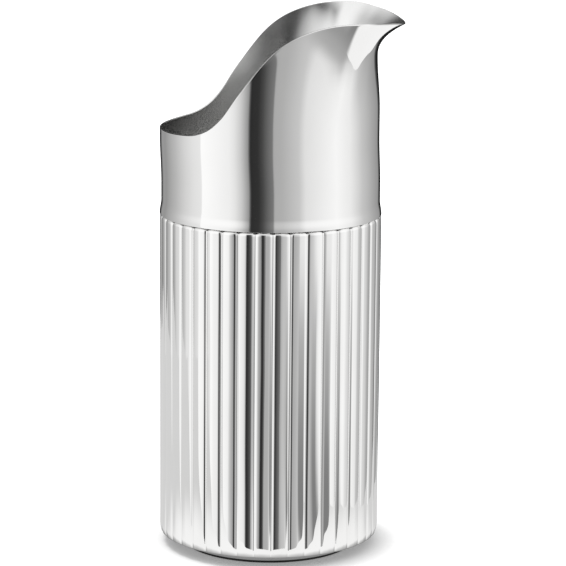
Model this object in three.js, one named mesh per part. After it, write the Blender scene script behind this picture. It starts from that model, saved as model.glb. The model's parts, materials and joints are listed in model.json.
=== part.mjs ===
// Handle-less water pitcher in polished silver: a smooth neck with a broad pouring lip, set over a
// reeded lower shell that stands on a small recessed foot.
//
// Frame: origin on the body's axis in the plane it stands on, +Z up, the pouring lip towards +X.
// Lengths are millimetres, angles are degrees of azimuth from the lip unless a name says otherwise.

import * as THREE from "three";

// ---------------------------------------------------------------- shells
const CREST_R = 50;             // outer radius over the reeds, and of the neck's flared skirt
const NECK_STEP = 0.75;         // how far the neck's wall stands inside the crest radius
const WALL = 0.9;               // sheet of the neck, the reeded shell, the floor pan and the foot
const LAP_GAP = 0.15;           // radial room in every lapped and soldered joint

// ---------------------------------------------------------------- neck and pouring lip
const SKIRT_Z = 152.7;          // lower edge of the neck's flared skirt
const SKIRT_HEIGHT = 6.3;       // the skirt's flare, from its edge up to the plain neck
const RIM_BACK_Z = 191.5;       // rim opposite the lip
const RIM_PEAK_Z = 242.9;       // highest stretch of the rim, either side of the lip
const LIP_OVERHANG = 10.6;      // reach of the lip's tip beyond the neck
const LIP_ROOT_Z = 225;         // where the lip's tip starts to curl outwards
const LIP_CURL = 2.35;          // power of the curl: larger keeps the throat straight for longer
const SWELL_Z = 198;            // where the neck's sides start to swell towards the lip
const SWELL_CURL = 1.5;         // power of that swelling
const THROAT_DEPTH = 1.3;       // how far the wall draws in just below the lip
const THROAT_Z = 200;           // where it starts to draw in
const THROAT_SIDE = 80;         // azimuth at which the throat has faded out
const LEAN = 0.65;              // how far the neck's upper part sits back from the lip
const LEAN_START = 2;           // the lean starts this far above the reeded shell's collar
const LEAN_HEIGHT = 21;         // and is whole after this height

// Rim height round half the neck: azimuth from the lip, share of the rise from back to peak.
const RIM_RISE = [
  [0, 0.92], [30, 0.97], [56, 1], [76, 0.918], [91.3, 0.75], [108.3, 0.402],
  [117.3, 0.195], [126.3, 0.074], [139, 0.015], [180, 0],
];
// Lip outline seen from above: azimuth from the lip, share of the full overhang.
const LIP_OUTLINE = [
  [0, 1], [9, 0.965], [22, 0.935], [36, 0.965], [46, 1.035], [52, 0.925], [58, 0.64],
  [64, 0.42], [70, 0.28], [77, 0.175], [86, 0.083], [96, 0.03], [110, 0], [180, 0],
];
// Share of the overhang that comes from the long swelling rather than the short curl.
const SWELL_SHARE = [[0, 0], [15, 0.1], [35, 0.55], [50, 0.75], [180, 0.75]];

// ---------------------------------------------------------------- reeded shell
const REED_COUNT = 40;
const GROOVE_DEPTH = 0.86;      // from the reeds' crowns to the bottom of the grooves
const GROOVE_SHOULDER = 1.3;    // half the groove's width at the reeds' round shoulders
const SHOULDER_DROP = 0.12;     // how far a shoulder lies below the crown
const REED_TOP_GAP = 0.1;       // between the reeds' ends and the neck's skirt
const REED_END = 2.4;           // height of the rounded end of a reed
const REED_ARCH = 0.7;          // a reed's end is lower by this at the grooves
const COLLAR_HEIGHT = 12.5;     // plain collar that laps inside the neck
const EDGE_Z = 5.3;             // lower edge of the reeded shell
const EDGE_HEIGHT = 4.5;        // stretch above the edge that tucks in
const EDGE_TUCK = 0.75;         // how far the edge tucks in
const EDGE_GROOVE = 0.4;        // share of the groove's depth that is left at the edge

// ---------------------------------------------------------------- floor and foot
const FLOOR_RISE = 1;           // floor pan's underside above the shell's lower edge
const FLOOR_FLANGE = 8;         // height of the floor pan with its upturned flange
const FLOOR_BEND = 3;           // outer bend between the floor and its flange
const FOOT_R = 40;
const FOOT_LIP = 7;             // width of the foot ring's two inward flanges
const FOOT_BEND = 0.8;
const PAD_THICKNESS = 1.2;
const PAD_INSET = 1.2;          // pad's edge inside the foot ring's
const SOLDER = 0.85;            // leg of a solder fillet

// ---------------------------------------------------------------- resolution
const MIN_ROLL = 1;             // a wall lower than this above its root is left unrolled
const NECK_SEGMENTS = 72;
const RING_SEGMENTS = 60;

// ---------------------------------------------------------------- derived sizes
const neckR = CREST_R - NECK_STEP;
const collarR = neckR - WALL - LAP_GAP;
const reedTopZ = SKIRT_Z - REED_TOP_GAP;
const collarTopZ = reedTopZ + COLLAR_HEIGHT;
const leanZ = collarTopZ + LEAN_START;
const floorR = Math.min(
  CREST_R - WALL - GROOVE_DEPTH,
  CREST_R - EDGE_TUCK - WALL - GROOVE_DEPTH * EDGE_GROOVE,
) - LAP_GAP;
const floorZ = EDGE_Z + FLOOR_RISE;

const silver = { color: 0xdfe0e0, roughness: 0.06, metalness: 1 };
const satinSilver = { color: 0xd2d3d3, roughness: 0.2, metalness: 1 };
const solder = { color: 0xb9babb, roughness: 0.4, metalness: 1 };
const padRubber = { color: 0x1b1c1e, roughness: 0.85, metalness: 0 };

const smoothstep = THREE.MathUtils.smoothstep;

/** Value at x of the smooth curve through [x, y] knots, level at both ends. */
function curveThrough(knots, x) {
  const last = knots.length - 1;
  let k = 0;
  while (k < last - 1 && x > knots[k + 1][0]) k += 1;
  const slopeAt = (i) => {
    if (i === 0 || i === last) return 0;
    return (knots[i + 1][1] - knots[i - 1][1]) / (knots[i + 1][0] - knots[i - 1][0]);
  };
  const span = knots[k + 1][0] - knots[k][0];
  const t = (x - knots[k][0]) / span;
  const rise = knots[k + 1][1] - knots[k][1];
  const ease = t * t * (3 - 2 * t);
  const startPull = t * (1 - t) * (1 - t) * slopeAt(k);
  const endPull = t * t * (1 - t) * slopeAt(k + 1);
  return knots[k][1] + rise * ease + span * (startPull - endPull);
}

/** Azimuth folded onto the half from the lip, 0, to the back, 180. */
function fromLip(azimuth) {
  return Math.abs(((azimuth + 180) % 360 + 360) % 360 - 180);
}

/**
 * Closed hoop through sections that follow one another round the axis. Each section has the same
 * number of points, as Vector3s, up the outside and down the inside.
 */
function hoop(sections) {
  const count = sections[0].length;
  const positions = sections.flat().flatMap((p) => [p.x, p.y, p.z]);
  const index = [];
  sections.forEach((_, i) => {
    const next = (i + 1) % sections.length;
    for (let j = 0; j < count; j += 1) {
      const up = (j + 1) % count;
      const corners = [i * count + j, next * count + j, next * count + up, i * count + up];
      index.push(corners[0], corners[1], corners[2], corners[0], corners[2], corners[3]);
    }
  });
  const geometry = new THREE.BufferGeometry();
  geometry.setAttribute("position", new THREE.Float32BufferAttribute(positions, 3));
  geometry.setIndex(index);
  geometry.computeVertexNormals();
  return geometry;
}

/** Point at a radius and height in the direction of an azimuth. */
function polar(radius, azimuth, z) {
  const angle = THREE.MathUtils.degToRad(azimuth);
  return new THREE.Vector3(radius * Math.cos(angle), radius * Math.sin(angle), z);
}

/** Turned ring or disc: [radius, height] profile about +Z, closed on itself or on the axis. */
function turned(profile) {
  const closed = profile[0][0] > 0 ? [...profile, profile[0]] : profile;
  const points = closed.map(([r, z]) => new THREE.Vector2(r, z));
  const geometry = new THREE.LatheGeometry(points, RING_SEGMENTS);
  geometry.rotateX(Math.PI / 2);
  return geometry;
}

/** Evenly spaced points of an arc in [radius, height], angles in degrees. */
function arc(r, z, radius, from, to, steps) {
  return Array.from({ length: steps + 1 }, (_, i) => {
    const angle = THREE.MathUtils.degToRad(from + ((to - from) * i) / steps);
    return [r + radius * Math.cos(angle), z + radius * Math.sin(angle)];
  });
}

// ---------------------------------------------------------------- neck shell

function rimZ(azimuth) {
  return RIM_BACK_Z + (RIM_PEAK_Z - RIM_BACK_Z) * curveThrough(RIM_RISE, fromLip(azimuth));
}

/** How far the wall has rolled outwards at a height: 0 at the root, 1 at the rim. */
function rollOut(azimuth, z, rootZ, power) {
  const height = rimZ(azimuth) - rootZ;
  if (height < MIN_ROLL || z <= rootZ) return 0;
  return ((z - rootZ) / height) ** power;
}

/** Outer radius of the neck: skirt, slight lean away from the lip, throat, swelling and curl. */
function neckRadius(azimuth, z) {
  const angle = THREE.MathUtils.degToRad(azimuth);
  const skirt = NECK_STEP * (1 - smoothstep(z, SKIRT_Z, SKIRT_Z + SKIRT_HEIGHT));
  const lean = LEAN * Math.cos(angle) * smoothstep(z, leanZ, leanZ + LEAN_HEIGHT);
  const outline = curveThrough(LIP_OUTLINE, fromLip(azimuth));
  const side = Math.min(fromLip(azimuth) / THROAT_SIDE, 1);
  const throat = THROAT_DEPTH * Math.cos(side * Math.PI / 2) ** 2 * smoothstep(z, THROAT_Z, LIP_ROOT_Z);
  const swollen = curveThrough(SWELL_SHARE, fromLip(azimuth));
  const rolled = swollen * rollOut(azimuth, z, SWELL_Z, SWELL_CURL)
    + (1 - swollen) * rollOut(azimuth, z, LIP_ROOT_Z, LIP_CURL);
  return neckR + skirt - lean - throat + outline * (LIP_OVERHANG + lean + throat) * rolled;
}

/** Unit vector out of the neck's outer surface. */
function neckNormal(azimuth, z) {
  const step = 0.01;
  const radius = neckRadius(azimuth, z);
  const turn = THREE.MathUtils.degToRad(2 * step);
  const around = (neckRadius(azimuth + step, z) - neckRadius(azimuth - step, z)) / turn;
  const upward = (neckRadius(azimuth, z + step) - neckRadius(azimuth, z - step)) / (2 * step);
  return polar(1, azimuth, -upward)
    .addScaledVector(polar(1, azimuth + 90, 0), -around / radius)
    .normalize();
}

function neckShell() {
  const skirtRows = [0, SKIRT_HEIGHT / 2, SKIRT_HEIGHT].map((height) => SKIRT_Z + height);
  const neckRows = [0, 0.3, 0.55, 0.76, 0.85, 0.9, 0.94, 0.97, 1];
  const azimuths = Array.from({ length: NECK_SEGMENTS }, (_, i) => (360 * i) / NECK_SEGMENTS);
  const sections = azimuths.map((azimuth) => {
    const heights = [...skirtRows, ...neckRows.map((t) => leanZ + (rimZ(azimuth) - leanZ) * t)];
    const outside = heights.map((z) => polar(neckRadius(azimuth, z), azimuth, z));
    const inside = outside.map((point, i) => {
      return point.clone().addScaledVector(neckNormal(azimuth, heights[i]), -WALL);
    });
    inside[0].z = SKIRT_Z;
    return [...outside, ...inside.reverse()];
  });
  return hoop(sections);
}

// ---------------------------------------------------------------- reeded shell

/**
 * Stations round the shell, four to a reed: azimuth, share of the groove's depth, and distance from
 * the reed's crown as a share of half the pitch.
 */
function reedStations() {
  const pitch = 360 / REED_COUNT;
  const halfPitchLength = Math.PI * CREST_R / REED_COUNT;
  const shoulder = 1 - GROOVE_SHOULDER / halfPitchLength;
  const drop = SHOULDER_DROP / GROOVE_DEPTH;
  const outline = [[-1, 1], [-shoulder, drop], [0, 0], [shoulder, drop]];
  return Array.from({ length: REED_COUNT }, (_, reed) => outline.map(([across, depth]) => {
    return { azimuth: pitch * (reed + 0.5 + across / 2), depth, across: Math.abs(across) };
  })).flat();
}

/** Section of the reeded shell at one station, up the outside and down the inside. */
function reedSection({ azimuth, depth, across }) {
  const crownR = CREST_R - GROOVE_DEPTH * depth;
  const endZ = reedTopZ - REED_ARCH * across ** 4;
  const edge = [0, 0.35, 1].map((t) => {
    const groove = GROOVE_DEPTH * depth * (EDGE_GROOVE + (1 - EDGE_GROOVE) * t);
    return [CREST_R - EDGE_TUCK * (1 - t) ** 2 - groove, EDGE_Z + EDGE_HEIGHT * t];
  });
  const end = [0, 0.6, 0.9, 1].map((t) => {
    const round = Math.sqrt(1 - t * t);
    return [collarR + (crownR - collarR) * round, endZ - REED_END * (1 - t)];
  });
  const outside = [...edge, ...end, [collarR, collarTopZ]];
  const inside = [
    [collarR - WALL, collarTopZ],
    [collarR - WALL, endZ - WALL],
    [crownR - WALL, endZ - REED_END - WALL / 2],
    ...edge.map(([r, z]) => [r - WALL, z]).reverse(),
  ];
  return [...outside, ...inside].map(([r, z]) => polar(r, azimuth, z));
}

function reededShell() {
  return hoop(reedStations().map(reedSection));
}

// ---------------------------------------------------------------- floor, foot and solder

function floorPan() {
  const top = floorZ + FLOOR_FLANGE;
  return turned([
    [0, floorZ],
    ...arc(floorR - FLOOR_BEND, floorZ + FLOOR_BEND, FLOOR_BEND, -90, 0, 3),
    [floorR, top],
    [floorR - WALL, top],
    ...arc(floorR - FLOOR_BEND, floorZ + FLOOR_BEND, FLOOR_BEND - WALL, 0, -90, 3),
    [0, floorZ + WALL],
  ]);
}

function footRing() {
  const bottom = PAD_THICKNESS;
  const top = floorZ - LAP_GAP;
  return turned([
    [FOOT_R - FOOT_LIP, bottom],
    ...arc(FOOT_R - FOOT_BEND, bottom + FOOT_BEND, FOOT_BEND, -90, 0, 2),
    [FOOT_R, top],
    [FOOT_R - FOOT_LIP, top],
    [FOOT_R - FOOT_LIP, top - WALL],
    [FOOT_R - WALL, top - WALL],
    [FOOT_R - WALL, bottom + WALL],
    [FOOT_R - FOOT_LIP, bottom + WALL],
  ]);
}

function basePad() {
  const edge = FOOT_R - PAD_INSET;
  const top = PAD_THICKNESS - LAP_GAP;
  return turned([[0, 0], [edge, 0], [edge, top], [0, top]]);
}

/** Solder fillet round a joint: its corner at [radius, height] and its legs' signed lengths. */
function fillet(radius, height, across, up) {
  const corners = [[radius, height], [radius, height + up], [radius + across, height]];
  return turned(across * up < 0 ? corners : corners.reverse());
}

// ---------------------------------------------------------------- the assembly

const pitcher = new THREE.Group();

function addPiece(name, geometry, finish) {
  const mesh = new THREE.Mesh(geometry, new THREE.MeshStandardMaterial(finish));
  mesh.name = name;
  pitcher.add(mesh);
}

const wallInsideR = CREST_R - WALL - GROOVE_DEPTH;
const facetRoom = LAP_GAP / 2;

addPiece("neck_shell", neckShell(), silver);
addPiece("reeded_shell", reededShell(), silver);
addPiece("floor_pan", floorPan(), satinSilver);
addPiece("foot_ring", footRing(), satinSilver);
addPiece("base_pad", basePad(), padRubber);
addPiece("neck_solder", fillet(collarR + facetRoom, collarTopZ + facetRoom, -SOLDER, SOLDER), solder);
addPiece(
  "floor_solder",
  fillet(wallInsideR - facetRoom, floorZ + FLOOR_FLANGE + facetRoom, -SOLDER, SOLDER),
  solder,
);
addPiece("foot_solder", fillet(FOOT_R + facetRoom, floorZ - facetRoom, SOLDER, -SOLDER), solder);

export default pitcher;
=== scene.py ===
"""Visual model of a handle-less silver water pitcher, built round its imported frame."""

import json
import logging
import math
from dataclasses import dataclass, field
from enum import Enum

import bpy
import numpy as np
from mathutils import Matrix, Vector

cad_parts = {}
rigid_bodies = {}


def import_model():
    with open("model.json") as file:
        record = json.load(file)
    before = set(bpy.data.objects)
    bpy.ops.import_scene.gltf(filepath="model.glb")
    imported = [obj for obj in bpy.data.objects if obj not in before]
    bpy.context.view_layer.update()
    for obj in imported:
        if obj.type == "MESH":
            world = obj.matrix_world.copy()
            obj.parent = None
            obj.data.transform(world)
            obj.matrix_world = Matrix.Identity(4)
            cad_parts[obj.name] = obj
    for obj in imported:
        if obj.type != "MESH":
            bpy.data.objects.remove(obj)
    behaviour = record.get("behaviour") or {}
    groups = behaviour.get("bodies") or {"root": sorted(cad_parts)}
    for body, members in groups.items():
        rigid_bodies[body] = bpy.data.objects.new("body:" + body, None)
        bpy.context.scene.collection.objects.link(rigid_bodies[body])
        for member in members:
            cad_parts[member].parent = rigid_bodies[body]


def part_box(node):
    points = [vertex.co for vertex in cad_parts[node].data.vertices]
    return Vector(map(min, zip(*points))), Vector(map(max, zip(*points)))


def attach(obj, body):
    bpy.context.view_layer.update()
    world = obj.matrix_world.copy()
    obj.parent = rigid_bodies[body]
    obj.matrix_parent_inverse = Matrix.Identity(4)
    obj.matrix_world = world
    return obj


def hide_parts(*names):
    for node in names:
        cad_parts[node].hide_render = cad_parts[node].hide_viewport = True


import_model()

log = logging.getLogger("pitcher")
MM = 0.001
ON_AXIS = 1e-4      # a turned profile's points within this many millimetres of the axis are on it
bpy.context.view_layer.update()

Outline = list[tuple[float, float]]
Row = tuple[float, float, float, float]
Socket = bpy.types.NodeSocket


# --------------------------------------------------------------------------- meshes


class Side(Enum):
    """Which side of a sheet a face is on, and so which of its two finishes it takes."""

    OUTSIDE = 0
    INSIDE = 1


def smoothstep(x: np.ndarray, low: float, high: float) -> np.ndarray:
    """Eases from 0 at low to 1 at high."""
    t = np.clip((x - low) / (high - low), 0.0, 1.0)
    return t * t * (3.0 - 2.0 * t)


def curve_through(knots: Outline, x: np.ndarray) -> np.ndarray:
    """Smooth curve through knots, level at both ends.

    Args:
        knots: (x, y) points in rising x.
        x: Where to read the curve.

    Returns:
        The curve's values at x.
    """
    kx = np.array([k[0] for k in knots], float)
    ky = np.array([k[1] for k in knots], float)
    slope = np.zeros_like(ky)
    slope[1:-1] = (ky[2:] - ky[:-2]) / (kx[2:] - kx[:-2])
    k = np.clip(np.searchsorted(kx, x, side="right") - 1, 0, len(kx) - 2)
    span = kx[k + 1] - kx[k]
    t = (x - kx[k]) / span
    ease = t * t * (3.0 - 2.0 * t)
    pull = t * (1.0 - t) ** 2 * slope[k] - t * t * (1.0 - t) * slope[k + 1]
    return ky[k] + (ky[k + 1] - ky[k]) * ease + span * pull


def new_object(name: str, mesh: bpy.types.Mesh) -> bpy.types.Object:
    """Puts a mesh in the scene as an object at the origin.

    Args:
        name: The object's name.
        mesh: Its mesh.

    Returns:
        The new object.
    """
    piece = bpy.data.objects.new(name, mesh)
    bpy.context.scene.collection.objects.link(piece)
    return piece


def hoop_mesh(name: str, rings: np.ndarray, sides: list[Side]) -> bpy.types.Mesh:
    """Closed hoop swept round the axis, smooth shaded.

    Args:
        name: The mesh's name.
        rings: Millimetres, as [station round the axis][point of the section][x, y, z], each section
            closed on itself, up the outside and down the inside.
        sides: The side of the sheet that the face after each point of the section is on.

    Returns:
        The mesh, with its faces' material index set from their side.
    """
    stations, points = rings.shape[:2]
    i, j = np.meshgrid(np.arange(stations), np.arange(points), indexing="ij")
    right, up = (i + 1) % stations, (j + 1) % points
    quads = np.stack([i * points + j, right * points + j, right * points + up, i * points + up], -1)
    mesh = bpy.data.meshes.new(name)
    mesh.from_pydata((rings * MM).reshape(-1, 3).tolist(), [], quads.reshape(-1, 4).tolist())
    mesh.polygons.foreach_set("use_smooth", np.ones(stations * points, bool))
    side_of = np.tile(np.array([s.value for s in sides], np.int32), stations)
    mesh.polygons.foreach_set("material_index", side_of)
    mesh.update()
    return mesh


def turned_mesh(name: str, profile: Outline, stations: int = 192) -> bpy.types.Mesh:
    """Turned piece from its profile, smooth shaded.

    Args:
        name: The mesh's name.
        profile: (radius, height) points in millimetres, closed on itself or from axis to axis, with
            the material on its left when it runs up the outside.
        stations: Facets round the axis.

    Returns:
        The mesh.
    """
    verts: list[tuple[float, float, float]] = []
    loops: list[list[int]] = []
    for radius, height in profile:
        start = len(verts)
        if radius < ON_AXIS:
            verts.append((0.0, 0.0, height * MM))
            loops.append([start] * stations)
            continue
        for k in range(stations):
            turn = 2.0 * math.pi * k / stations
            verts.append((radius * MM * math.cos(turn), radius * MM * math.sin(turn), height * MM))
        loops.append(list(range(start, start + stations)))
    ends_on_axis = profile[0][0] < ON_AXIS
    faces = []
    for row in range(len(loops) - 1 if ends_on_axis else len(loops)):
        low, high = loops[row], loops[(row + 1) % len(loops)]
        for k in range(stations):
            n = (k + 1) % stations
            faces.append(list(dict.fromkeys([low[k], low[n], high[n], high[k]])))
    mesh = bpy.data.meshes.new(name)
    mesh.from_pydata(verts, [], faces)
    mesh.polygons.foreach_set("use_smooth", np.ones(len(faces), bool))
    mesh.update()
    return mesh


def rounded(corners: list[tuple[float, float, float]], steps: int = 5) -> Outline:
    """Rounds the corners of a closed outline.

    Args:
        corners: (radius, height, rounding) of each corner.
        steps: Points on each rounded corner, less one.

    Returns:
        The outline's (radius, height) points.
    """
    outline = []
    for k, (r, z, round_by) in enumerate(corners):
        here = Vector((r, z))
        before = Vector(corners[k - 1][:2]) - here
        after = Vector(corners[(k + 1) % len(corners)][:2]) - here
        start = here + before.normalized() * round_by
        end = here + after.normalized() * round_by
        for step in range(steps + 1):
            t = step / steps
            p = start * (1 - t) ** 2 + here * (2 * t * (1 - t)) + end * t * t
            outline.append((p.x, p.y))
    return outline


def turned_box(node: str) -> tuple[float, float, float]:
    """Outer radius, underside and top of a turned node of the frame, in millimetres."""
    low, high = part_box(node)
    return high.x / MM, low.z / MM, high.z / MM


def made_plain(piece: bpy.types.Object) -> bpy.types.Object:
    """Turns a piece's evaluated result into its plain mesh and takes its modifiers off.

    Args:
        piece: The piece with its modifiers.

    Returns:
        The same piece.
    """
    graph = bpy.context.evaluated_depsgraph_get()
    mesh = bpy.data.meshes.new_from_object(piece.evaluated_get(graph), depsgraph=graph)
    piece.modifiers.clear()
    piece.data = mesh
    return piece


# --------------------------------------------------------------------------- nodes


class NodeGraph:
    """Short calls for making nodes in one tree."""

    def __init__(self, tree: bpy.types.NodeTree) -> None:
        """Starts with a tree's own nodes cleared."""
        self.tree = tree
        self.tree.nodes.clear()

    def node(self, kind: str) -> bpy.types.Node:
        """Adds a node of that kind."""
        return self.tree.nodes.new(kind)

    def link(self, source: Socket, target: Socket) -> None:
        """Joins two sockets."""
        self.tree.links.new(source, target)

    def feed(self, target: Socket, value: Socket | float) -> None:
        """Joins a socket to an input, or sets the input to a number.

        Args:
            target: The input.
            value: The socket or number.
        """
        if isinstance(value, (int, float)):
            target.default_value = value
        else:
            self.link(value, target)

    def math(self, operation: str, *values: Socket | float) -> Socket:
        """Adds a Math node.

        Args:
            operation: The node's operation.
            values: Its inputs, as sockets or numbers.

        Returns:
            The result.
        """
        made = self.node("ShaderNodeMath")
        made.operation = operation
        for target, value in zip(made.inputs, values):
            self.feed(target, value)
        return made.outputs[0]

    def split(self, vector: Socket) -> tuple[Socket, Socket, Socket]:
        """Takes a vector apart.

        Args:
            vector: The vector.

        Returns:
            Its x, y and z.
        """
        made = self.node("ShaderNodeSeparateXYZ")
        self.link(vector, made.inputs[0])
        return made.outputs[0], made.outputs[1], made.outputs[2]

    def joined(self, *values: Socket) -> Socket:
        """Puts a vector together.

        Args:
            values: Its x, y and, if it has one, z.

        Returns:
            The vector.
        """
        made = self.node("ShaderNodeCombineXYZ")
        for target, value in zip(made.inputs, values):
            self.link(value, target)
        return made.outputs[0]

    def noise(self, vector: Socket, scale: float, detail: float) -> Socket:
        """Adds a Noise texture.

        Args:
            vector: Where to read it.
            scale: Features per unit of the vector.
            detail: Octaves.

        Returns:
            The noise's factor, about 0.5.
        """
        made = self.node("ShaderNodeTexNoise")
        made.inputs["Scale"].default_value = scale
        made.inputs["Detail"].default_value = detail
        self.link(vector, made.inputs["Vector"])
        return made.outputs["Fac"]

    def spread(self, value: Socket, source: tuple[float, float], result: tuple[float, float] = (0.0, 1.0),
               eased: bool = False) -> Socket:
        """Maps one range to another and holds it at its ends.

        Args:
            value: What is mapped.
            source: The stretch of the value that is used.
            result: What its two ends become.
            eased: Whether it sets off and arrives softly.

        Returns:
            The mapped value.
        """
        made = self.node("ShaderNodeMapRange")
        made.interpolation_type = "SMOOTHSTEP" if eased else "LINEAR"
        made.inputs["From Min"].default_value, made.inputs["From Max"].default_value = source
        made.inputs["To Min"].default_value, made.inputs["To Max"].default_value = result
        self.link(value, made.inputs["Value"])
        return made.outputs["Result"]

    def eased(self, value: Socket, source: tuple[float, float],
              result: tuple[float, float] = (0.0, 1.0)) -> Socket:
        """Maps one range to another as spread does, but sets off and arrives softly."""
        return self.spread(value, source, result, eased=True)

    def mixed_colour(self, share: Socket, under: Socket | tuple, over: tuple) -> Socket:
        """Lays one colour over another.

        Args:
            share: How much of the upper colour shows.
            under: The lower colour, as a socket or red, green and blue.
            over: Red, green and blue of the upper colour.

        Returns:
            The mixed colour.
        """
        made = self.node("ShaderNodeMix")
        made.data_type = "RGBA"
        if isinstance(under, tuple):
            made.inputs["A"].default_value = (*under, 1.0)
        else:
            self.link(under, made.inputs["A"])
        made.inputs["B"].default_value = (*over, 1.0)
        self.link(share, made.inputs["Factor"])
        return made.outputs["Result"]

    def mixed_shader(self, share: Socket, first: Socket, second: Socket) -> Socket:
        """Mixes two shaders.

        Args:
            share: How much of the second one shows.
            first: The first shader.
            second: The second shader.

        Returns:
            The mixed shader.
        """
        made = self.node("ShaderNodeMixShader")
        self.link(share, made.inputs["Fac"])
        self.link(first, made.inputs[1])
        self.link(second, made.inputs[2])
        return made.outputs[0]

    def emission(self, strength: Socket) -> Socket:
        """Adds a white emission.

        Args:
            strength: Its strength.

        Returns:
            The shader.
        """
        made = self.node("ShaderNodeEmission")
        self.link(strength, made.inputs["Strength"])
        return made.outputs[0]


class SurfaceKit(NodeGraph):
    """Short calls for making the shader nodes of one finish."""

    WORN = (0.35, 0.65)     # the stretch of a noise in which wear and haze come and go

    def __init__(self, name: str) -> None:
        """Starts a material with a Principled surface.

        Args:
            name: The material's name.
        """
        self.material = bpy.data.materials.new(name)
        self.material.use_nodes = True
        super().__init__(self.material.node_tree)
        self.bsdf = self.node("ShaderNodeBsdfPrincipled")
        self.link(self.bsdf.outputs["BSDF"], self.node("ShaderNodeOutputMaterial").inputs["Surface"])
        self.coords = self.node("ShaderNodeTexCoord").outputs["Object"]

    def stretched(self, lengthwise: float) -> Socket:
        """Object coordinates scaled along the pitcher's axis.

        Args:
            lengthwise: The scale along Z; below 1 it draws a pattern out along the axis.

        Returns:
            The Mapping node's vector.
        """
        made = self.node("ShaderNodeMapping")
        made.inputs["Scale"].default_value = (1.0, 1.0, lengthwise)
        self.link(self.coords, made.inputs["Vector"])
        return made.outputs["Vector"]

    def bump(self, height: Socket, depth: float, strength: float = 1.0,
             under: Socket | None = None) -> Socket:
        """Bump from a height.

        Args:
            height: The height's factor.
            depth: Metres of a full step.
            strength: Share of the bump that is used.
            under: Normal of a coarser bump below it.

        Returns:
            The bumped normal.
        """
        made = self.node("ShaderNodeBump")
        made.inputs["Distance"].default_value = depth
        made.inputs["Strength"].default_value = strength
        self.link(height, made.inputs["Height"])
        if under is not None:
            self.link(under, made.inputs["Normal"])
        return made.outputs["Normal"]


class TreeKit(NodeGraph):
    """Short calls for making Geometry Nodes in one tree."""

    def __init__(self, name: str) -> None:
        """Starts a tree that takes a geometry and gives one back.

        Args:
            name: The tree's name.
        """
        super().__init__(bpy.data.node_groups.new(name, "GeometryNodeTree"))
        face = self.tree.interface
        face.new_socket("Geometry", in_out="INPUT", socket_type="NodeSocketGeometry")
        face.new_socket("Geometry", in_out="OUTPUT", socket_type="NodeSocketGeometry")
        self.enter = self.node("NodeGroupInput")
        self.leave = self.node("NodeGroupOutput")
        self.ids: dict[str, str] = {}

    def size(self, name: str, kind: str = "NodeSocketFloat") -> Socket:
        """Adds a named input to the tree.

        Args:
            name: The input's name.
            kind: Its socket type.

        Returns:
            The socket inside the tree.
        """
        made = self.tree.interface.new_socket(name, in_out="INPUT", socket_type=kind)
        self.ids[name] = made.identifier
        return self.enter.outputs[name]

    def attribute(self, name: str) -> Socket:
        """Reads a number stored on the points.

        Args:
            name: The attribute's name.

        Returns:
            Its value.
        """
        made = self.node("GeometryNodeInputNamedAttribute")
        made.data_type = "FLOAT"
        made.inputs["Name"].default_value = name
        return made.outputs["Attribute"]


# --------------------------------------------------------------------------- finishes


@dataclass(frozen=True)
class SilverFinish:
    """Polished or satin silver: faint buffing marks, handling haze and a slow waver of the sheet.

    Scales are features per metre, and the waver's and the marks' depths are metres.
    """

    name: str
    bright: tuple[float, float, float] = (0.955, 0.953, 0.948)
    dull: tuple[float, float, float] = (0.925, 0.922, 0.915)
    roughness: tuple[float, float] = (0.008, 0.03)
    haze_scale: float = 38.0
    haze_stretch: float = 0.6
    waver: float = 0.000012
    waver_scale: float = 26.0
    waver_stretch: float = 0.35
    marks: float = 0.0000012
    marks_scale: float = 5200.0

    def material(self) -> bpy.types.Material:
        """Makes the finish.

        Returns:
            The material.
        """
        kit = SurfaceKit(self.name)
        haze = kit.noise(kit.stretched(self.haze_stretch), self.haze_scale, detail=4.0)
        marks = kit.noise(kit.coords, self.marks_scale, detail=3.0)
        slow = kit.noise(kit.stretched(self.waver_stretch), self.waver_scale, detail=1.0)
        tone = kit.mixed_colour(kit.spread(haze, kit.WORN), self.bright, self.dull)
        sheet = kit.bump(slow, self.waver)
        kit.bsdf.inputs["Metallic"].default_value = 1.0
        kit.link(tone, kit.bsdf.inputs["Base Color"])
        kit.link(kit.spread(haze, kit.WORN, self.roughness), kit.bsdf.inputs["Roughness"])
        kit.link(kit.bump(marks, self.marks, under=sheet), kit.bsdf.inputs["Normal"])
        return kit.material


@dataclass(frozen=True)
class SolderFinish:
    """Silver solder as it flowed: duller than the sheet, softly lumpy, stained by the flux."""

    name: str = "solder_as_flowed"
    clean: tuple[float, float, float] = (0.74, 0.74, 0.73)
    stained: tuple[float, float, float] = (0.5, 0.47, 0.42)
    stain_share: tuple[float, float] = (0.45, 0.75)
    stain_scale: float = 120.0
    roughness: tuple[float, float] = (0.28, 0.5)
    lumps: float = 0.00012
    lumps_scale: float = 900.0
    lumps_strength: float = 0.6

    def material(self) -> bpy.types.Material:
        """Makes the finish.

        Returns:
            The material.
        """
        kit = SurfaceKit(self.name)
        stain = kit.noise(kit.coords, self.stain_scale, detail=5.0)
        lumps = kit.noise(kit.coords, self.lumps_scale, detail=3.0)
        tone = kit.mixed_colour(kit.spread(stain, self.stain_share), self.clean, self.stained)
        kit.bsdf.inputs["Metallic"].default_value = 1.0
        kit.link(tone, kit.bsdf.inputs["Base Color"])
        kit.link(kit.spread(stain, kit.WORN, self.roughness), kit.bsdf.inputs["Roughness"])
        kit.link(kit.bump(lumps, self.lumps, self.lumps_strength), kit.bsdf.inputs["Normal"])
        return kit.material


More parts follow.
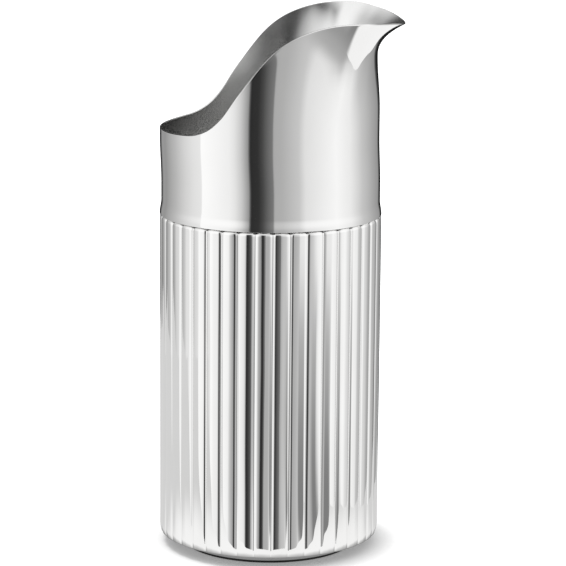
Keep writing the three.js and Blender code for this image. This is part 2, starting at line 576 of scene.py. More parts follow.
@dataclass(frozen=True)
class PadFinish:
    """Black non-slip rubber, fine grained, greyer where it has rubbed."""

    name: str = "pad_rubber"
    fresh: tuple[float, float, float] = (0.012, 0.012, 0.013)
    rubbed: tuple[float, float, float] = (0.045, 0.044, 0.043)
    rub_scale: float = 70.0
    roughness: tuple[float, float] = (0.7, 0.92)
    sheen: float = 0.35
    grain: float = 0.00005
    grain_scale: float = 2600.0
    grain_strength: float = 0.7

    def material(self) -> bpy.types.Material:
        """Makes the finish.

        Returns:
            The material.
        """
        kit = SurfaceKit(self.name)
        rub = kit.noise(kit.coords, self.rub_scale, detail=5.0)
        grain = kit.noise(kit.coords, self.grain_scale, detail=2.0)
        tone = kit.mixed_colour(kit.spread(rub, kit.WORN), self.fresh, self.rubbed)
        kit.bsdf.inputs["Specular IOR Level"].default_value = self.sheen
        kit.link(tone, kit.bsdf.inputs["Base Color"])
        kit.link(kit.spread(rub, kit.WORN, self.roughness), kit.bsdf.inputs["Roughness"])
        kit.link(kit.bump(grain, self.grain, self.grain_strength), kit.bsdf.inputs["Normal"])
        return kit.material


# --------------------------------------------------------------------------- sub-assemblies


class Slot(Enum):
    """The record's material slots."""

    POLISHED = "polished_silver"
    SATIN = "satin_silver"
    SOLDER = "solder"
    PAD = "pad"


@dataclass
class SubAssembly:
    """One piece of the pitcher: its node in the frame, its slot, and its finishes by index."""

    node: str
    slot: Slot
    finishes: tuple[bpy.types.Material, ...]

    def build(self) -> bpy.types.Object:
        """Makes the piece's shape, each sub-assembly in its own way."""
        raise NotImplementedError

    def placed(self, mesh: bpy.types.Mesh) -> bpy.types.Object:
        """Puts the piece's mesh in the scene under the piece's name."""
        return new_object(self.node + "_visual", mesh)

    def dress(self, piece: bpy.types.Object) -> None:
        """Gives a piece its finishes and its body, and hides the node of the frame that it stands for.

        Args:
            piece: The piece that build made.
        """
        if not piece.data.materials:
            for finish in self.finishes:
                piece.data.materials.append(finish)
        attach(piece, "root")
        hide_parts(self.node)
        log.info("%s: %d faces", piece.name, len(piece.data.polygons))


# --------------------------------------------------------------------------- neck


@dataclass
class NeckShell(SubAssembly):
    """Smooth neck with its flared skirt, S-cut rim and broad pouring lip. Millimetres, degrees."""

    crest: float
    skirt_z: float
    collar_top: float
    step: float = 0.75
    sheet: float = 0.9
    skirt_height: float = 6.3
    rim_back: float = 191.5
    rim_peak: float = 242.9
    overhang: float = 10.6
    root_z: float = 225.0
    curl: float = 2.35
    swell_z: float = 198.0
    swell: float = 1.5
    throat: float = 1.3
    throat_z: float = 200.0
    throat_side: float = 80.0
    lean: float = 0.65
    lean_start: float = 2.0
    lean_height: float = 21.0
    rim_round: float = 0.28
    skirt_round: float = 0.09
    skirt_lift: float = 0.12
    # rim height against degrees from the lip, as a share of the rise from its back to its peak
    rim_rise: Outline = field(default_factory=lambda: [
        (0, 0.92), (30, 0.97), (56, 1), (76, 0.918), (91.3, 0.75), (108.3, 0.402),
        (117.3, 0.195), (126.3, 0.074), (139, 0.015), (180, 0)])
    # share of the full overhang against degrees from the lip
    lip_outline: Outline = field(default_factory=lambda: [
        (0, 1), (9, 0.965), (22, 0.935), (36, 0.965), (46, 1.035), (52, 0.925), (58, 0.64),
        (64, 0.42), (70, 0.28), (77, 0.175), (86, 0.083), (96, 0.03), (110, 0), (180, 0)])
    # share of the overhang that comes from the long swelling rather than the short curl
    swell_share: Outline = field(default_factory=lambda: [
        (0, 0), (15, 0.1), (35, 0.55), (50, 0.75), (180, 0.75)])
    stations: int = 360
    skirt_rows: int = 12
    plain_start: float = 3.0
    plain_rows: tuple[float, float, int] = (0.03, 0.72, 22)
    lip_rows: tuple[float, float, int] = (0.735, 0.997, 44)
    edge_angles: tuple[float, ...] = (18.0, 40.0, 65.0, 90.0, 115.0, 140.0, 162.0)
    probe: float = 0.02     # step to either side that the surface's slope is taken over
    edge_across: float = 0.55
    edge_out: float = 0.6

    def rim(self, azimuth: np.ndarray) -> np.ndarray:
        """Height of the rim's outer edge, in millimetres, at degrees from the lip."""
        rise = self.rim_peak - self.rim_back
        return self.rim_back + rise * curve_through(self.rim_rise, self.from_lip(azimuth))

    def from_lip(self, azimuth: np.ndarray) -> np.ndarray:
        """Azimuths folded onto the half from the lip, 0, to the back, 180."""
        return np.abs((azimuth + 180.0) % 360.0 - 180.0)

    def rolled(self, z: np.ndarray, rim: np.ndarray, root_z: float, power: float) -> np.ndarray:
        """How far the wall has rolled outwards at z, from 0 at its root to 1 at the rim."""
        return (np.maximum(z - root_z, 0.0) / np.maximum(rim - root_z, 1.0)) ** power

    def radius(self, azimuth: np.ndarray, z: np.ndarray) -> np.ndarray:
        """Outer radius of the neck.

        Args:
            azimuth: Degrees from the lip.
            z: Heights in millimetres.

        Returns:
            Radii in millimetres.
        """
        from_lip, rim = self.from_lip(azimuth), self.rim(azimuth)
        skirt = self.step * (1.0 - smoothstep(z, self.skirt_z, self.skirt_z + self.skirt_height))
        lean_z = self.collar_top + self.lean_start
        leant = smoothstep(z, lean_z, lean_z + self.lean_height)
        lean = self.lean * np.cos(np.radians(azimuth)) * leant
        side = np.minimum(from_lip / self.throat_side, 1.0)
        drawn_in = smoothstep(z, self.throat_z, self.root_z)
        throat = self.throat * np.cos(side * np.pi / 2) ** 2 * drawn_in
        share = curve_through(self.swell_share, from_lip)
        rolled = share * self.rolled(z, rim, self.swell_z, self.swell)
        rolled = rolled + (1.0 - share) * self.rolled(z, rim, self.root_z, self.curl)
        outline = np.maximum(curve_through(self.lip_outline, from_lip), 0.0)
        reach = outline * (self.overhang + lean + throat)
        return self.crest - self.step + skirt - lean - throat + reach * rolled

    def point(self, azimuth: np.ndarray, z: np.ndarray) -> np.ndarray:
        """Points of the outer surface, in millimetres, with x, y and z on the last axis."""
        r, turn = self.radius(azimuth, z), np.radians(azimuth)
        return np.stack([r * np.cos(turn), r * np.sin(turn), z], -1)

    def normal(self, azimuth: np.ndarray, z: np.ndarray) -> np.ndarray:
        """Unit normals of the outer surface.

        Args:
            azimuth: Degrees from the lip.
            z: Heights in millimetres.

        Returns:
            The normals, with x, y and z on the last axis.
        """
        step = self.probe
        around = self.point(azimuth + step, z) - self.point(azimuth - step, z)
        upward = self.point(azimuth, z + step) - self.point(azimuth, z - step)
        n = np.cross(around, upward)
        return n / np.linalg.norm(n, axis=-1, keepdims=True)

    def heights(self, azimuth: np.ndarray) -> np.ndarray:
        """Heights of the rows of points, closest together at the skirt and the lip.

        Args:
            azimuth: Degrees from the lip of each section.

        Returns:
            Heights in millimetres, [section][row].
        """
        skirt = np.linspace(self.skirt_lift, self.skirt_height, self.skirt_rows) + self.skirt_z
        start = self.skirt_z + self.skirt_height + self.plain_start
        low = np.concatenate([skirt, [start]])
        share = np.concatenate([np.linspace(*self.plain_rows), np.linspace(*self.lip_rows)])
        high = start + (self.rim(azimuth)[:, None] - start) * share[None, :]
        return np.concatenate([np.repeat(low[None, :], len(azimuth), 0), high], 1)

    def edge(self, start: np.ndarray, end: np.ndarray, onward: np.ndarray,
             fullness: float) -> np.ndarray:
        """Rounds a cut edge of the sheet, from one surface over to the other.

        Args:
            start: Points along the edge on the surface that is left.
            end: Points on the surface that is reached.
            onward: Direction out of the edge at each point.
            fullness: How far the rounding stands out beyond the edge, in millimetres.

        Returns:
            The points between, [section][row][x, y, z].
        """
        across = end - start
        out = onward / np.linalg.norm(onward, axis=-1, keepdims=True)
        rows = []
        for angle in self.edge_angles:
            c, s = math.cos(math.radians(angle)), math.sin(math.radians(angle))
            share = 0.5 - 0.5 * math.copysign(abs(c) ** self.edge_across, c)
            rows.append(start + across * share + out * (fullness * s ** self.edge_out))
        return np.stack(rows, 1)

    def build(self) -> bpy.types.Object:
        """Makes the shell.

        Returns:
            The neck, its inside faces with the second finish.
        """
        azimuth = np.linspace(0.0, 360.0, self.stations, endpoint=False)
        heights = self.heights(azimuth)
        grid = np.repeat(azimuth[:, None], heights.shape[1], 1)
        outside = self.point(grid, heights)
        inside = outside - self.sheet * self.normal(grid, heights)
        upward = outside[:, -1] - outside[:, -2]
        downward = outside[:, 0] - outside[:, 1]
        rim = self.edge(outside[:, -1], inside[:, -1], upward, self.rim_round)
        skirt = self.edge(inside[:, 0], outside[:, 0], downward, self.skirt_round)
        rings = np.concatenate([outside, rim, inside[:, ::-1], skirt], 1)
        rows, half_rim = heights.shape[1], rim.shape[1] // 2
        sides = [Side.OUTSIDE] * (rows + half_rim)
        sides += [Side.INSIDE] * (rows + rim.shape[1] - half_rim)
        sides += [Side.OUTSIDE] * skirt.shape[1]
        return self.placed(hoop_mesh(self.node, rings, sides))


# --------------------------------------------------------------------------- reeded shell


@dataclass
class ReededShell(SubAssembly):
    """Lower shell, with reeds rolled into a turned blank by a node tree. Millimetres."""

    crest: float
    skirt_z: float
    edge_z: float
    reeds: int = 40
    sheet: float = 0.9
    step: float = 0.75
    lap_gap: float = 0.15
    top_gap: float = 0.03
    first_groove: float = 0.0
    crown_drop: float = 0.46
    crown_power: float = 1.35
    groove_cut: float = 0.4
    groove_half: float = 1.3
    groove_power: float = 1.7
    hand: float = 0.065
    hand_pace: float = 9.0      # swings of a reed's lean per metre of its length
    hand_apart: float = 3.7     # how far one reed's lean is from the next one's in the noise
    hand_gain: float = 4.0
    reed_end: float = 2.4
    end_round: float = 0.8
    reed_arch: float = 0.7
    arch_start: float = 0.94
    arch_power: float = 4.0
    collar_height: float = 12.5
    collar_bevel: float = 0.1
    collar_foot: tuple[float, float] = (0.4, 1.0)   # rows that ease the reeds' ends into the collar
    lining_foot: float = 0.6
    lining_clear: float = 1.5   # sheets that the lining's straight rows keep below the reeds' ends
    edge_height: float = 4.5
    edge_tuck: float = 0.75
    edge_groove: float = 0.4
    edge_bevel: float = 0.02
    tuck_rows: int = 12
    straight_rows: tuple[float, float, int] = (0.04, 0.98, 22)
    end_rows: int = 14
    per_reed: int = 22

    @property
    def collar(self) -> float:
        """Outer radius of the collar that laps inside the neck."""
        return self.crest - self.step - self.sheet - self.lap_gap

    @property
    def reed_top(self) -> float:
        """Height of the reeds' rounded ends."""
        return self.skirt_z - self.top_gap

    def outer_rows(self) -> list[Row]:
        """Outside of the turned blank, from its lower edge to where the reeds end.

        Returns:
            (radius, height, share of the groove's depth, share of the reed ends' arch) of each point.
        """
        rows = []
        for t in np.linspace(0.0, 1.0, self.tuck_rows):
            groove = self.edge_groove + (1 - self.edge_groove) * t
            tucked = self.crest - self.edge_tuck * (1 - t) ** 2
            rows.append((tucked, self.edge_z + self.edge_height * t, groove, 0.0))
        full = self.edge_z + self.edge_height
        straight_end = self.reed_top - self.reed_end
        for t in np.linspace(*self.straight_rows):
            arch = max(0.0, (t - self.arch_start) / (1.0 - self.arch_start))
            rows.append((self.crest, full + (straight_end - full) * t, 1.0, arch))
        rise = self.crest - self.collar
        for turn in np.radians(np.linspace(0.0, 90.0, self.end_rows)):
            share = math.cos(turn) ** self.end_round
            height = self.reed_end * math.sin(turn) ** self.end_round
            rows.append((self.collar + rise * share, straight_end + height, share, 1.0))
        return rows

    def section(self) -> tuple[list[Row], list[Row], list[Row]]:
        """Section of the turned blank.

        Returns:
            The outside going up, the inside going down and the lower edge going out, each as rows of
            (radius, height, share of the groove's depth, share of the reed ends' arch).
        """
        outside = self.outer_rows()
        top, bevel = self.reed_top + self.collar_height, self.collar_bevel
        inner = self.collar - self.sheet
        inside = [
            (inner + bevel, top, 0.0, 0.0),
            (inner, top - bevel, 0.0, 0.0),
            (inner, self.reed_top - self.sheet + self.lining_foot, 0.0, 0.5),
        ]
        straight_end = self.reed_top - self.reed_end
        for r, z, groove, arch in reversed(outside):
            if arch >= 1.0:
                inside.append((r - self.sheet, z - self.sheet, groove, arch))
            elif z < straight_end - self.sheet * self.lining_clear:
                inside.append((r - self.sheet, z, groove, arch))
        inner_edge, outer_edge = inside[-1][0], outside[0][0]
        across = (inner_edge + self.edge_bevel, inner_edge + self.sheet / 2, outer_edge - self.edge_bevel)
        edge = [(r, self.edge_z, self.edge_groove, 0.0) for r in across]
        easing, plain = self.collar_foot
        outside += [
            (self.collar, self.reed_top + easing, 0.0, 0.5),
            (self.collar, self.reed_top + plain, 0.0, 0.0),
            (self.collar, top - bevel, 0.0, 0.0),
            (self.collar - bevel, top, 0.0, 0.0),
        ]
        return outside, inside, edge

    def blank(self) -> bpy.types.Object:
        """Turned blank with the reeds' shares stored on its points.

        Returns:
            The blank.
        """
        outside, inside, edge = self.section()
        section = np.array(outside + inside + edge)
        stations = self.reeds * self.per_reed
        turn = np.radians(np.linspace(0.0, 360.0, stations, endpoint=False))
        rings = np.empty((stations, len(section), 3))
        rings[:, :, 0] = np.cos(turn)[:, None] * section[None, :, 0]
        rings[:, :, 1] = np.sin(turn)[:, None] * section[None, :, 0]
        rings[:, :, 2] = section[None, :, 1]
        sides = [Side.OUTSIDE] * len(outside) + [Side.INSIDE] * len(inside) + [Side.OUTSIDE] * len(edge)
        mesh = hoop_mesh("reeded_blank", rings, sides)
        for name, column in (("groove", 2), ("arch", 3)):
            stored = mesh.attributes.new(name, "FLOAT", "POINT")
            stored.data.foreach_set("value", np.tile(section[:, column], stations).astype(np.float32))
        return self.placed(mesh)

    def tree(self) -> TreeKit:
        """Node tree that rolls the reeds into the blank.

        Returns:
            The tree, with its inputs' identifiers.
        """
        kit = TreeKit("roll_reeds")
        calc = kit.math
        count, first, pitch, crown, crown_power, cut, half, cut_power, arch_drop, hand = (
            kit.size(name) for name in (
                "Reeds", "First groove", "Pitch", "Crown drop", "Crown power", "Groove cut",
                "Groove half width", "Groove power", "Reed arch", "Hand"))
        x, y, z = kit.split(kit.node("GeometryNodeInputPosition").outputs[0])
        turn = calc("SUBTRACT", calc("ARCTAN2", y, x), first)
        along = calc("ADD", calc("MULTIPLY", turn, calc("DIVIDE", count, math.tau)), count)
        across = calc("FRACT", along)
        reed = calc("FLOORED_MODULO", calc("FLOOR", along), count)
        from_crown = calc("ABSOLUTE", calc("SUBTRACT", calc("MULTIPLY", across, 2.0), 1.0))
        half_pitch = calc("MULTIPLY", pitch, 0.5)
        to_groove = calc("MULTIPLY", calc("SUBTRACT", 1.0, from_crown), half_pitch)
        clear = calc("MINIMUM", calc("DIVIDE", to_groove, half), 1.0)
        notch = calc("POWER", calc("SUBTRACT", 1.0, clear), cut_power)
        # rolled by hand, so each reed leans a little to one side or the other along its length
        spot = kit.joined(calc("MULTIPLY", reed, self.hand_apart), calc("MULTIPLY", z, self.hand_pace))
        swing = calc("SUBTRACT", kit.noise(spot, scale=1.0, detail=3.0), 0.5)
        lean = calc("MULTIPLY", swing, calc("MULTIPLY", hand, self.hand_gain))
        wander = calc("MULTIPLY", calc("SINE", calc("MULTIPLY", across, math.tau)), lean)
        rounding = calc("MULTIPLY", crown, calc("POWER", from_crown, crown_power))
        depth = calc("ADD", rounding, calc("MULTIPLY", cut, notch))
        pressed = calc("MULTIPLY", calc("ADD", depth, wander), kit.attribute("groove"))
        bow = calc("MULTIPLY", arch_drop, calc("POWER", from_crown, self.arch_power))
        arched = calc("MULTIPLY", bow, kit.attribute("arch"))
        radius = calc("SQRT", calc("ADD", calc("MULTIPLY", x, x), calc("MULTIPLY", y, y)))
        inward = calc("DIVIDE", calc("MULTIPLY", pressed, -1.0), radius)
        move = kit.joined(calc("MULTIPLY", x, inward), calc("MULTIPLY", y, inward),
                          calc("MULTIPLY", arched, -1.0))
        press = kit.node("GeometryNodeSetPosition")
        kit.link(kit.enter.outputs["Geometry"], press.inputs["Geometry"])
        kit.link(move, press.inputs["Offset"])
        real = kit.node("GeometryNodeRealizeInstances")
        kit.link(press.outputs[0], real.inputs[0])
        index = kit.node("GeometryNodeInputMaterialIndex").outputs[0]
        last = real.outputs[0]
        for name, comparison in (("Outside finish", "LESS_THAN"), ("Inside finish", "GREATER_THAN")):
            paint = kit.node("GeometryNodeSetMaterial")
            kit.link(last, paint.inputs["Geometry"])
            kit.link(calc(comparison, index, 0.5), paint.inputs["Selection"])
            kit.link(kit.size(name, "NodeSocketMaterial"), paint.inputs["Material"])
            last = paint.outputs[0]
        kit.link(last, kit.leave.inputs[0])
        return kit

    def build(self) -> bpy.types.Object:
        """Makes the shell.

        Returns:
            The reeded shell as a plain mesh, its inside faces with the second finish.
        """
        piece = self.blank()
        outside, inside = self.finishes
        piece.data.materials.append(outside)
        piece.data.materials.append(inside)
        kit = self.tree()
        roll = piece.modifiers.new("roll_reeds", "NODES")
        roll.node_group = kit.tree
        sizes = {
            "Reeds": float(self.reeds),
            "First groove": math.radians(self.first_groove),
            "Pitch": math.tau * self.crest * MM / self.reeds,
            "Crown drop": self.crown_drop * MM,
            "Crown power": self.crown_power,
            "Groove cut": self.groove_cut * MM,
            "Groove half width": self.groove_half * MM,
            "Groove power": self.groove_power,
            "Reed arch": self.reed_arch * MM,
            "Hand": self.hand * MM,
            "Outside finish": outside,
            "Inside finish": inside,
        }
        for name, value in sizes.items():
            roll[kit.ids[name]] = value
        return made_plain(piece)


# --------------------------------------------------------------------------- floor, foot, solder


@dataclass
class FloorPan(SubAssembly):
    """Pressed floor with its upturned flange. Millimetres."""

    sheet: float = 0.9
    bend: float = 3.0
    edge: float = 0.2
    bend_steps: int = 10
    spokes: tuple[float, ...] = (0.125, 0.375, 0.625, 0.875)

    def build(self) -> bpy.types.Object:
        """Turns the pan from its node's box.

        Returns:
            The pan.
        """
        r, z, top = turned_box(self.node)
        inner, floor = r - self.sheet, z + self.sheet
        wall = rounded([
            (r, z, self.bend), (r, top, self.edge), (inner, top, self.edge),
            (inner, floor, self.bend - self.sheet),
        ], self.bend_steps)
        under = [(0.0, z)] + [(share * r, z) for share in self.spokes]
        over = [(share * r, floor) for share in reversed(self.spokes)] + [(0.0, floor)]
        return self.placed(turned_mesh(self.node, under + wall + over))


@dataclass
class FootRing(SubAssembly):
    """Spun ring of channel section, open towards the axis. Millimetres."""

    sheet: float = 0.9
    flange: float = 7.0
    foot_bend: float = 0.8
    top_bend: float = 0.3
    inner_bend: float = 0.2
    edge: float = 0.15

    def build(self) -> bpy.types.Object:
        """Turns the ring from its node's box.

        Returns:
            The ring.
        """
        r, z, top = turned_box(self.node)
        s, inner = self.sheet, r - self.flange
        outline = rounded([
            (r, z, self.foot_bend), (r, top, self.top_bend),
            (inner, top, self.edge), (inner, top - s, self.edge),
            (r - s, top - s, self.inner_bend), (r - s, z + s, self.inner_bend),
            (inner, z + s, self.edge), (inner, z, self.edge),
        ])
        return self.placed(turned_mesh(self.node, outline))


@dataclass
class BasePad(SubAssembly):
    """Die-cut non-slip pad with softened edges. Millimetres."""

    edge: float = 0.2
    edge_steps: int = 4
    under_spokes: tuple[float, ...] = (0.0, 0.5, 0.9)
    over_spokes: tuple[float, ...] = (0.5, 0.0)

    def build(self) -> bpy.types.Object:
        """Turns the pad from its node's box.

        Returns:
            The pad.
        """
        r, z, top = turned_box(self.node)
        e, rim = self.edge, []
        for centre, start in ((z + e, -90.0), (top - e, 0.0)):
            for step in range(self.edge_steps + 1):
                turn = math.radians(start + 90.0 * step / self.edge_steps)
                rim.append((r - e + e * math.cos(turn), centre + e * math.sin(turn)))
        under = [(share * r, z) for share in self.under_spokes]
        over = [(share * r, top) for share in self.over_spokes]
        return self.placed(turned_mesh(self.node, under + rim + over))


class Corner(Enum):
    """Where the corner of a solder fillet lies in its node's box, as (outer side, upper side)."""

    OUTER_LOW = (True, False)
    INNER_HIGH = (False, True)


@dataclass
class SolderJoint(SubAssembly):
    """Fillet of solder round a joint, with the soft hollow face that solder takes as it flows."""

    corner: Corner
    hollow: float = 0.12
    face_steps: int = 6
    stations: int = 160

    def build(self) -> bpy.types.Object:
        """Turns the fillet from its node's box.

        Returns:
            The fillet.
        """
        outer, bottom, top = turned_box(self.node)
        leg = top - bottom
        at_outer, at_top = self.corner.value
        corner_r, across = (outer, -leg) if at_outer else (outer - leg, leg)
        corner_z, up = (top, -leg) if at_top else (bottom, leg)
        section = [(corner_r, corner_z)]
        for step in range(self.face_steps + 1):
            t = step / self.face_steps
            sunk = self.hollow * math.sin(math.pi * t)
            section.append((corner_r + across * (1 - t - sunk), corner_z + up * (t - sunk)))
        if self.area(section) < 0:
            section.reverse()
        return self.placed(turned_mesh(self.node, section, self.stations))

    def area(self, section: Outline) -> float:
        """Twice a section's area, above 0 when its points go round anticlockwise."""
        return sum(a[0] * b[1] - b[0] * a[1] for a, b in zip(section, section[1:] + section[:1]))


# --------------------------------------------------------------------------- studio


@dataclass
class StudioCamera:
    """Long lens on a stand before the table. Metres, degrees, and millimetres for the lens."""

    turn: float
    distance: float = 1.323
    height: float = 0.39754
    pitch: float = 11.841
    yaw: float = 0.2536
    roll: float = -0.4465
    lens: float = 189.77
    sensor: float = 36.0

    def build(self) -> None:
        """Makes the camera and hands it to the scene."""
        data = bpy.data.cameras.new("studio_camera")
        data.lens = self.lens
        data.sensor_width = self.sensor
        pitch, yaw, roll = (math.radians(a) for a in (self.pitch, self.yaw, self.roll))
        level = Vector((math.sin(yaw), math.cos(yaw), 0.0)) * math.cos(pitch)
        ahead = level - Vector((0.0, 0.0, math.sin(pitch)))
        right = Vector((math.cos(yaw), -math.sin(yaw), 0.0))
        up = right.cross(ahead)
        turned_right = right * math.cos(roll) - up * math.sin(roll)
        turned_up = right * math.sin(roll) + up * math.cos(roll)
        axes = Matrix((turned_right, turned_up, -ahead)).transposed()
        eye = bpy.data.objects.new("studio_camera", data)
        stand = Matrix.Translation((0.0, -self.distance, self.height)) @ axes.to_4x4()
        eye.matrix_world = Matrix.Rotation(math.radians(self.turn), 4, "Z") @ stand
        bpy.context.scene.collection.objects.link(eye)
        bpy.context.scene.camera = eye


@dataclass
class Surround:
    """Soft boxes and dark flags all round, white behind everything the camera sees.

    A rise is the height that a direction gains over its length. The bands are the rises over which
    one grey gives way to another.
    """

    turn: float
    # grey against azimuth from the camera, right positive
    greys: Outline = field(default_factory=lambda: [
        (-180, 0.028), (-162, 0.03), (-154, 0.328), (-142, 0.314), (-130, 0.405), (-117, 0.509),
        (-100, 0.693), (-88, 0.79), (-77.3, 0.834), (-76, 1.03), (-56, 0.955), (-43, 0.9),
        (-37, 0.81), (-30.5, 0.63), (-26, 0.449), (-22, 0.286), (-20.7, 0.027), (-12, 0.033),
        (-7.5, 0.065), (-2.3, 0.134), (3.2, 0.2), (4.3, 0.43), (12, 0.45), (30, 0.594),
        (37, 0.78), (73, 0.98), (92, 0.876), (112, 0.58), (134, 0.41), (154, 0.3),
        (158, 0.07), (164, 0.013)])
    upper_band: tuple[float, float] = (-0.04, 0.2)
    upper_power: float = 1.8
    upper_grey: float = 1.05
    top_band: tuple[float, float] = (0.35, 0.75)
    top_grey: float = 1.0
    floor_band: tuple[float, float] = (0.32, 0.62)
    floor_grey: float = 0.33
    card_side: float = 50.0
    card_slant: float = 0.45
    card_pivot: float = 0.42
    card_top: float = -0.56
    card_tilt: float = 0.25
    card_grey: float = 0.95

    def ramp(self, graph: NodeGraph, azimuth: Socket) -> Socket:
        """Grey of the surround at the horizon.

        Args:
            graph: The world's nodes.
            azimuth: Radians from the camera's side.

        Returns:
            The grey.
        """
        turns = graph.math("DIVIDE", azimuth, math.tau)
        # the ramp starts behind the camera, half a turn back, and a whole turn more stays above 0
        place = graph.math("FRACT", graph.math("ADD", turns, 1.5 - self.turn / 360.0))
        ramp = graph.node("ShaderNodeValToRGB")
        stops = ramp.color_ramp.elements
        stops.remove(stops[-1])
        for angle, grey in self.greys[1:]:
            stops.new((angle + 180.0) / 360.0).color = (grey, grey, grey, 1.0)
        stops[0].color = (self.greys[0][1],) * 3 + (1.0,)
        graph.link(place, ramp.inputs[0])
        return ramp.outputs[0]

    def card(self, graph: NodeGraph, x: Socket, y: Socket, rise: Socket) -> Socket:
        """White card low on the right, that the underside of the lip mirrors.

        Args:
            graph: The world's nodes.
            x: The direction's part to the right.
            y: Its part away from the camera.
            rise: Its part upwards.

        Returns:
            1 on the card and 0 beside it.
        """
        calc, side = graph.math, math.radians(self.card_side)
        aside = calc("ADD", calc("MULTIPLY", x, math.cos(side)), calc("MULTIPLY", y, math.sin(side)))
        under = calc("SUBTRACT", rise, calc("MULTIPLY", aside, self.card_tilt))
        slant = calc("MULTIPLY", calc("ADD", rise, self.card_pivot), self.card_slant)
        return calc("MULTIPLY", calc("LESS_THAN", under, self.card_top),
                    calc("GREATER_THAN", aside, slant))

    def build(self) -> None:
        """Makes the surround the scene's world."""
        world = bpy.data.worlds.new("studio_surround")
        world.use_nodes = True
        graph = NodeGraph(world.node_tree)
        calc = graph.math
        x, y, rise = graph.split(graph.node("ShaderNodeTexCoord").outputs["Generated"])
        level = self.ramp(graph, calc("ARCTAN2", x, calc("MULTIPLY", y, -1.0)))
        lift = calc("MULTIPLY", graph.eased(rise, self.upper_band), calc("POWER", level, self.upper_power))
        below = graph.eased(calc("MULTIPLY", rise, -1.0), self.floor_band)
        grey = level
        for share, tone in (
            (calc("MINIMUM", lift, 1.0), self.upper_grey),
            (graph.eased(rise, self.top_band), self.top_grey),
            (below, self.floor_grey),
            (self.card(graph, x, y, rise), self.card_grey),
            (graph.node("ShaderNodeLightPath").outputs["Is Camera Ray"], 1.0),
        ):
            grey = graph.mixed_colour(share, grey, (tone, tone, tone))
        background = graph.node("ShaderNodeBackground")
        graph.link(grey, background.inputs["Color"])
        graph.link(background.outputs[0], graph.node("ShaderNodeOutputWorld").inputs["Surface"])
        bpy.context.scene.world = world


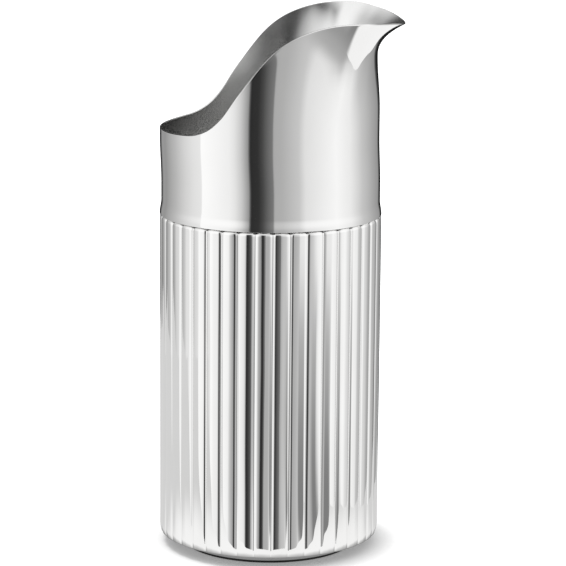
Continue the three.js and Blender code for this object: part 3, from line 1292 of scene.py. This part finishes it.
@dataclass
class TableTop:
    """White table, brightest away from the foot, where its glow is lowered as a painted shadow. Metres and
    degrees.

    Mirrors see it end, as a real table does, with a dark strip of floor beyond its right front
    corner. Bands are the stretches over which one brightness gives way to another.
    """

    half: float = 6.0
    front: float = -0.079
    back: float = 0.43
    side: float = 0.43
    right: float = 0.12
    white: float = 0.5
    # painted shadow: over this reach from the axis the glow rises from low at the foot to full
    painted_shadow_band: tuple[float, float] = (0.042, 0.074)
    glow_with_painted_shadow: tuple[float, float] = (0.22, 1.0)
    # painted light for mirrors: the table glows brighter near the pitcher than far off
    near_bright: float = 0.95
    far_bright: float = 0.68
    near_band: tuple[float, float] = (0.08, 0.17)
    near_depth: tuple[float, float] = (-0.03, 0.02)
    # painted shadow for mirrors under the foot
    contact_band: tuple[float, float] = (0.05, 0.062)
    contact_shade: float = 0.3
    strip_start: tuple[float, float] = (21.0, 33.0)
    strip_end: tuple[float, float] = (46.0, 62.0)
    strip_fade: tuple[float, float] = (0.42, 0.8)
    strip_band: tuple[float, float] = (0.15, 0.5)
    strip_bright: tuple[float, float] = (0.22, 0.42)

    def ends(self, graph: NodeGraph, x: Socket, y: Socket) -> Socket:
        """Where the table has ended for a mirror.

        Args:
            graph: The material's nodes.
            x: Metres to the right.
            y: Metres away from the camera.

        Returns:
            1 off the table and 0 on it.
        """
        calc = graph.math
        lengthwise = calc("MAXIMUM", calc("LESS_THAN", y, self.front), calc("GREATER_THAN", y, self.back))
        aside = calc("GREATER_THAN", calc("ABSOLUTE", x), self.side)
        return calc("MAXIMUM", lengthwise, calc("MAXIMUM", aside, calc("GREATER_THAN", x, self.right)))

    def mirrored(self, graph: NodeGraph, y: Socket, reach: Socket) -> Socket:
        """The table as a mirror sees it: a glow with painted light, brightest near the pitcher, and a
        painted shadow under the foot.

        Args:
            graph: The material's nodes.
            y: Metres away from the camera.
            reach: Metres from the pitcher's axis.

        Returns:
            The shader.
        """
        calc, falling = graph.math, (1.0, 0.0)
        # painted light and a painted shadow: brighter near and in front of the pitcher, darker under the
        # foot
        near = calc("MULTIPLY", graph.eased(reach, self.near_band, falling),
                    graph.eased(y, self.near_depth, falling))
        lit = calc("ADD", calc("MULTIPLY", near, self.near_bright - self.far_bright), self.far_bright)
        shade = graph.eased(reach, self.contact_band, (self.contact_shade, 1.0))
        return graph.emission(calc("MULTIPLY", lit, shade))

    def beyond(self, graph: NodeGraph, x: Socket, y: Socket, reach: Socket) -> Socket:
        """What a mirror sees past the table's end: the strip of floor, or the surround.

        Args:
            graph: The material's nodes.
            x: Metres to the right.
            y: Metres away from the camera.
            reach: Metres from the pitcher's axis.

        Returns:
            The shader.
        """
        calc, falling = graph.math, (1.0, 0.0)
        azimuth = calc("ARCTAN2", x, calc("MULTIPLY", y, -1.0))
        start, end = (tuple(math.radians(a) for a in band) for band in (self.strip_start, self.strip_end))
        sector = calc("MULTIPLY", graph.eased(azimuth, start), graph.eased(azimuth, end, falling))
        strip = calc("MULTIPLY", sector, graph.eased(reach, self.strip_fade, falling))
        floor = graph.emission(graph.eased(reach, self.strip_band, self.strip_bright))
        clear = graph.node("ShaderNodeBsdfTransparent").outputs[0]
        return graph.mixed_shader(strip, clear, floor)

    def build(self) -> None:
        """Makes the table and stages it."""
        mesh = bpy.data.meshes.new("table_top")
        w = self.half
        mesh.from_pydata([(-w, -w, 0), (w, -w, 0), (w, w, 0), (-w, w, 0)], [], [(0, 1, 2, 3)])
        top = new_object("table_top", mesh)
        material = bpy.data.materials.new("table_white")
        material.use_nodes = True
        graph = NodeGraph(material.node_tree)
        calc = graph.math
        x, y, _ = graph.split(graph.node("ShaderNodeTexCoord").outputs["Object"])
        reach = calc("SQRT", calc("ADD", calc("MULTIPLY", x, x), calc("MULTIPLY", y, y)))
        diffuse = graph.node("ShaderNodeBsdfDiffuse")
        diffuse.inputs["Color"].default_value = (self.white, self.white, self.white, 1.0)
        plain = graph.node("ShaderNodeAddShader")
        graph.link(diffuse.outputs[0], plain.inputs[0])
        # the glow is low near the foot: a painted contact shadow
        graph.link(graph.emission(graph.eased(reach, self.painted_shadow_band, self.glow_with_painted_shadow)), plain.inputs[1])
        mirrored = graph.mixed_shader(self.ends(graph, x, y), self.mirrored(graph, y, reach),
                                      self.beyond(graph, x, y, reach))
        in_mirror = graph.node("ShaderNodeLightPath").outputs["Is Glossy Ray"]
        surface = graph.mixed_shader(in_mirror, plain.outputs[0], mirrored)
        graph.link(surface, graph.node("ShaderNodeOutputMaterial").inputs["Surface"])
        mesh.materials.append(material)


@dataclass
class Softbox:
    """Broad lamp overhead to the left, for a soft shadow to the right of the foot. Metres, watts."""

    size: float = 0.5
    power: float = 14.0
    place: tuple[float, float, float] = (-0.4, 0.15, 1.4)
    aim: tuple[float, float, float] = (0.0, 0.0, 0.05)

    def build(self) -> None:
        """Hangs the lamp, out of sight of the mirrors."""
        data = bpy.data.lights.new("overhead_softbox", "AREA")
        data.shape = "RECTANGLE"
        data.size = data.size_y = self.size
        data.energy = self.power
        lamp = bpy.data.objects.new("overhead_softbox", data)
        lamp.location = self.place
        towards = Vector(self.aim) - lamp.location
        lamp.rotation_euler = towards.to_track_quat("-Z", "Y").to_euler()
        lamp.visible_glossy = False
        bpy.context.scene.collection.objects.link(lamp)


@dataclass
class Studio:
    """White table, soft surround, lamp and camera, with the camera and the surround turned together about
    the pitcher.
    """

    turn: float = -1.3

    def build(self) -> None:
        """Sets the whole studio up."""
        StudioCamera(self.turn).build()
        Surround(self.turn).build()
        TableTop().build()
        Softbox().build()
        bpy.context.scene.view_settings.view_transform = "Standard"


# --------------------------------------------------------------------------- the pitcher


def sub_assemblies() -> list[SubAssembly]:
    """Sizes every sub-assembly from the frame's boxes and gives it its finishes.

    Returns:
        The sub-assemblies, from the neck down and the solder last.
    """
    polished = SilverFinish("mirror_silver").material()
    lining = SilverFinish("lining_silver", bright=(0.9, 0.9, 0.895), dull=(0.86, 0.86, 0.855),
                          roughness=(0.16, 0.22)).material()
    satin = SilverFinish("satin_silver", bright=(0.86, 0.86, 0.86), dull=(0.8, 0.8, 0.8),
                         roughness=(0.16, 0.26), marks=0.000004).material()
    solder = SolderFinish().material()
    rubber = PadFinish().material()

    neck_low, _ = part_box("neck_shell")
    shell_low, shell_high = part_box("reeded_shell")
    crest, skirt_z = -neck_low.x / MM, neck_low.z / MM
    return [
        NeckShell("neck_shell", Slot.POLISHED, (polished, lining), crest, skirt_z, shell_high.z / MM),
        ReededShell("reeded_shell", Slot.POLISHED, (polished, lining), crest, skirt_z, shell_low.z / MM),
        FloorPan("floor_pan", Slot.SATIN, (satin,)),
        FootRing("foot_ring", Slot.SATIN, (satin,)),
        BasePad("base_pad", Slot.PAD, (rubber,)),
        SolderJoint("neck_solder", Slot.SOLDER, (solder,), Corner.OUTER_LOW),
        SolderJoint("floor_solder", Slot.SOLDER, (solder,), Corner.OUTER_LOW),
        SolderJoint("foot_solder", Slot.SOLDER, (solder,), Corner.INNER_HIGH),
    ]


def main() -> None:
    """Builds the studio and every piece of the pitcher."""
    logging.basicConfig(level=logging.INFO, format="%(name)s %(message)s")
    Studio().build()
    for sub_assembly in sub_assemblies():
        sub_assembly.dress(sub_assembly.build())


if __name__ == "__main__":
    main()
